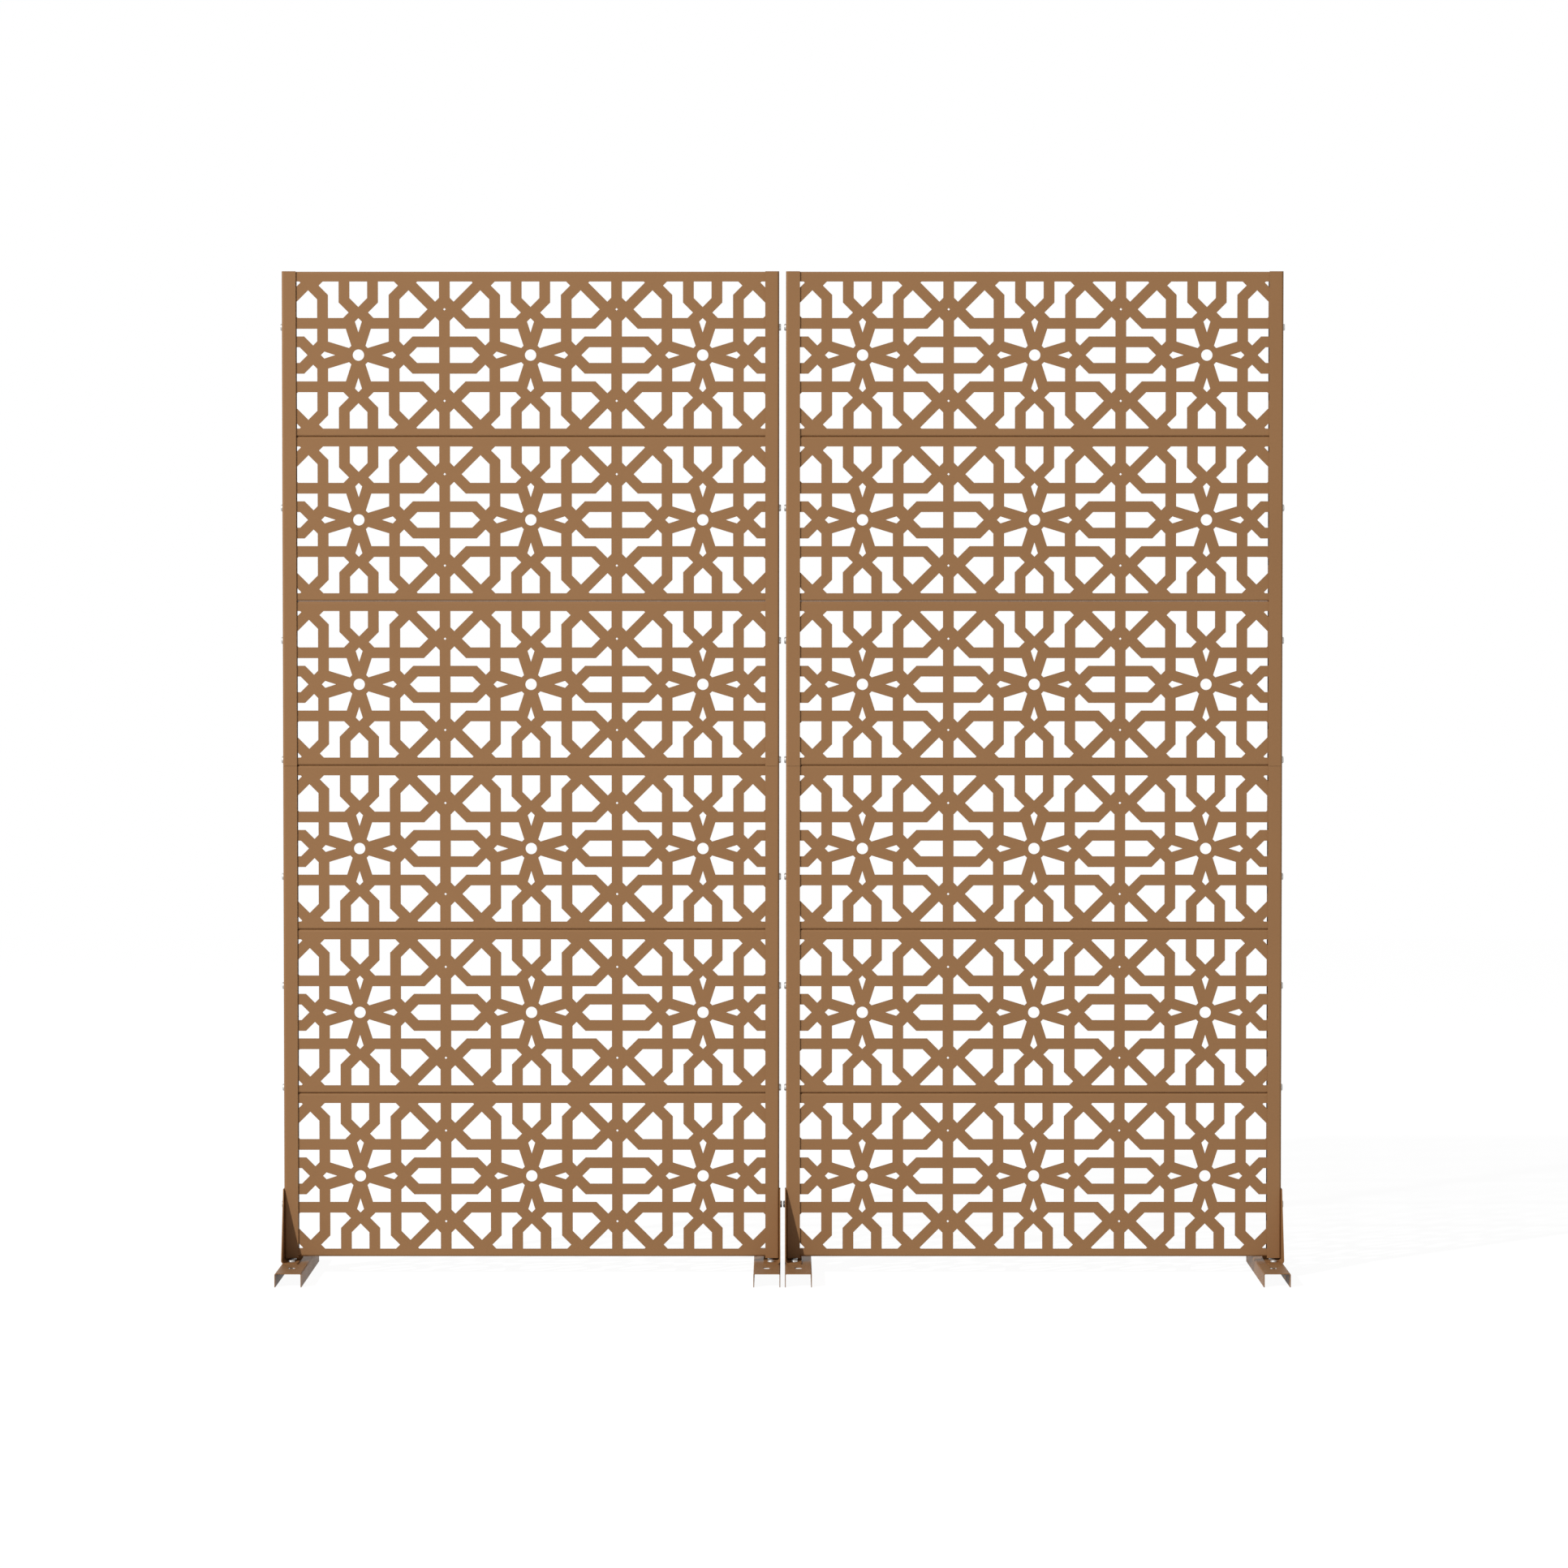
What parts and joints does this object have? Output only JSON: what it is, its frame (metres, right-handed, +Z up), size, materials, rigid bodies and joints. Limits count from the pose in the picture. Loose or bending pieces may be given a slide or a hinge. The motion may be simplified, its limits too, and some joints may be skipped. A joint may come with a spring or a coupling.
{
  "type": "outdoor privacy screen",
  "caption": "Free-standing outdoor privacy screens: stacked lattice trays of folded sheet metal between channel posts that stand on bolted channel feet.",
  "frame": {"origin": "on the floor, midway between the two screens and midway through their posts' depth", "axes": "+Z up; +X along the screens, to the right of someone who faces their front; +Y from the front of the screens to their back"},
  "size_m": [1.8354, 0.407, 1.8339],
  "materials": {
    "powder_coat": "satin powder coat over steel sheet",
    "plated_steel": "bright zinc plating"
  },
  "bodies": {
    "root": {"left_panel_1": "powder_coat", "left_panel_2": "powder_coat", "left_panel_3": "powder_coat", "left_panel_4": "powder_coat", "left_panel_5": "powder_coat", "left_panel_6": "powder_coat", "left_outer_post_lower": "powder_coat", "left_outer_post_upper": "powder_coat", "left_outer_joint_bar": "powder_coat", "left_outer_bracket": "powder_coat", "left_outer_foot": "powder_coat", "left_inner_post_lower": "powder_coat", "left_inner_post_upper": "powder_coat", "left_inner_joint_bar": "powder_coat", "left_inner_bracket": "powder_coat", "left_inner_foot": "powder_coat", "left_side_bolts": "plated_steel", "left_foot_bolts": "plated_steel", "left_nuts": "plated_steel", "right_panel_1": "powder_coat", "right_panel_2": "powder_coat", "right_panel_3": "powder_coat", "right_panel_4": "powder_coat", "right_panel_5": "powder_coat", "right_panel_6": "powder_coat", "right_inner_post_lower": "powder_coat", "right_inner_post_upper": "powder_coat", "right_inner_joint_bar": "powder_coat", "right_inner_bracket": "powder_coat", "right_inner_foot": "powder_coat", "right_outer_post_lower": "powder_coat", "right_outer_post_upper": "powder_coat", "right_outer_joint_bar": "powder_coat", "right_outer_bracket": "powder_coat", "right_outer_foot": "powder_coat", "right_side_bolts": "plated_steel", "right_foot_bolts": "plated_steel", "right_nuts": "plated_steel"}
  },
  "joints": []
}
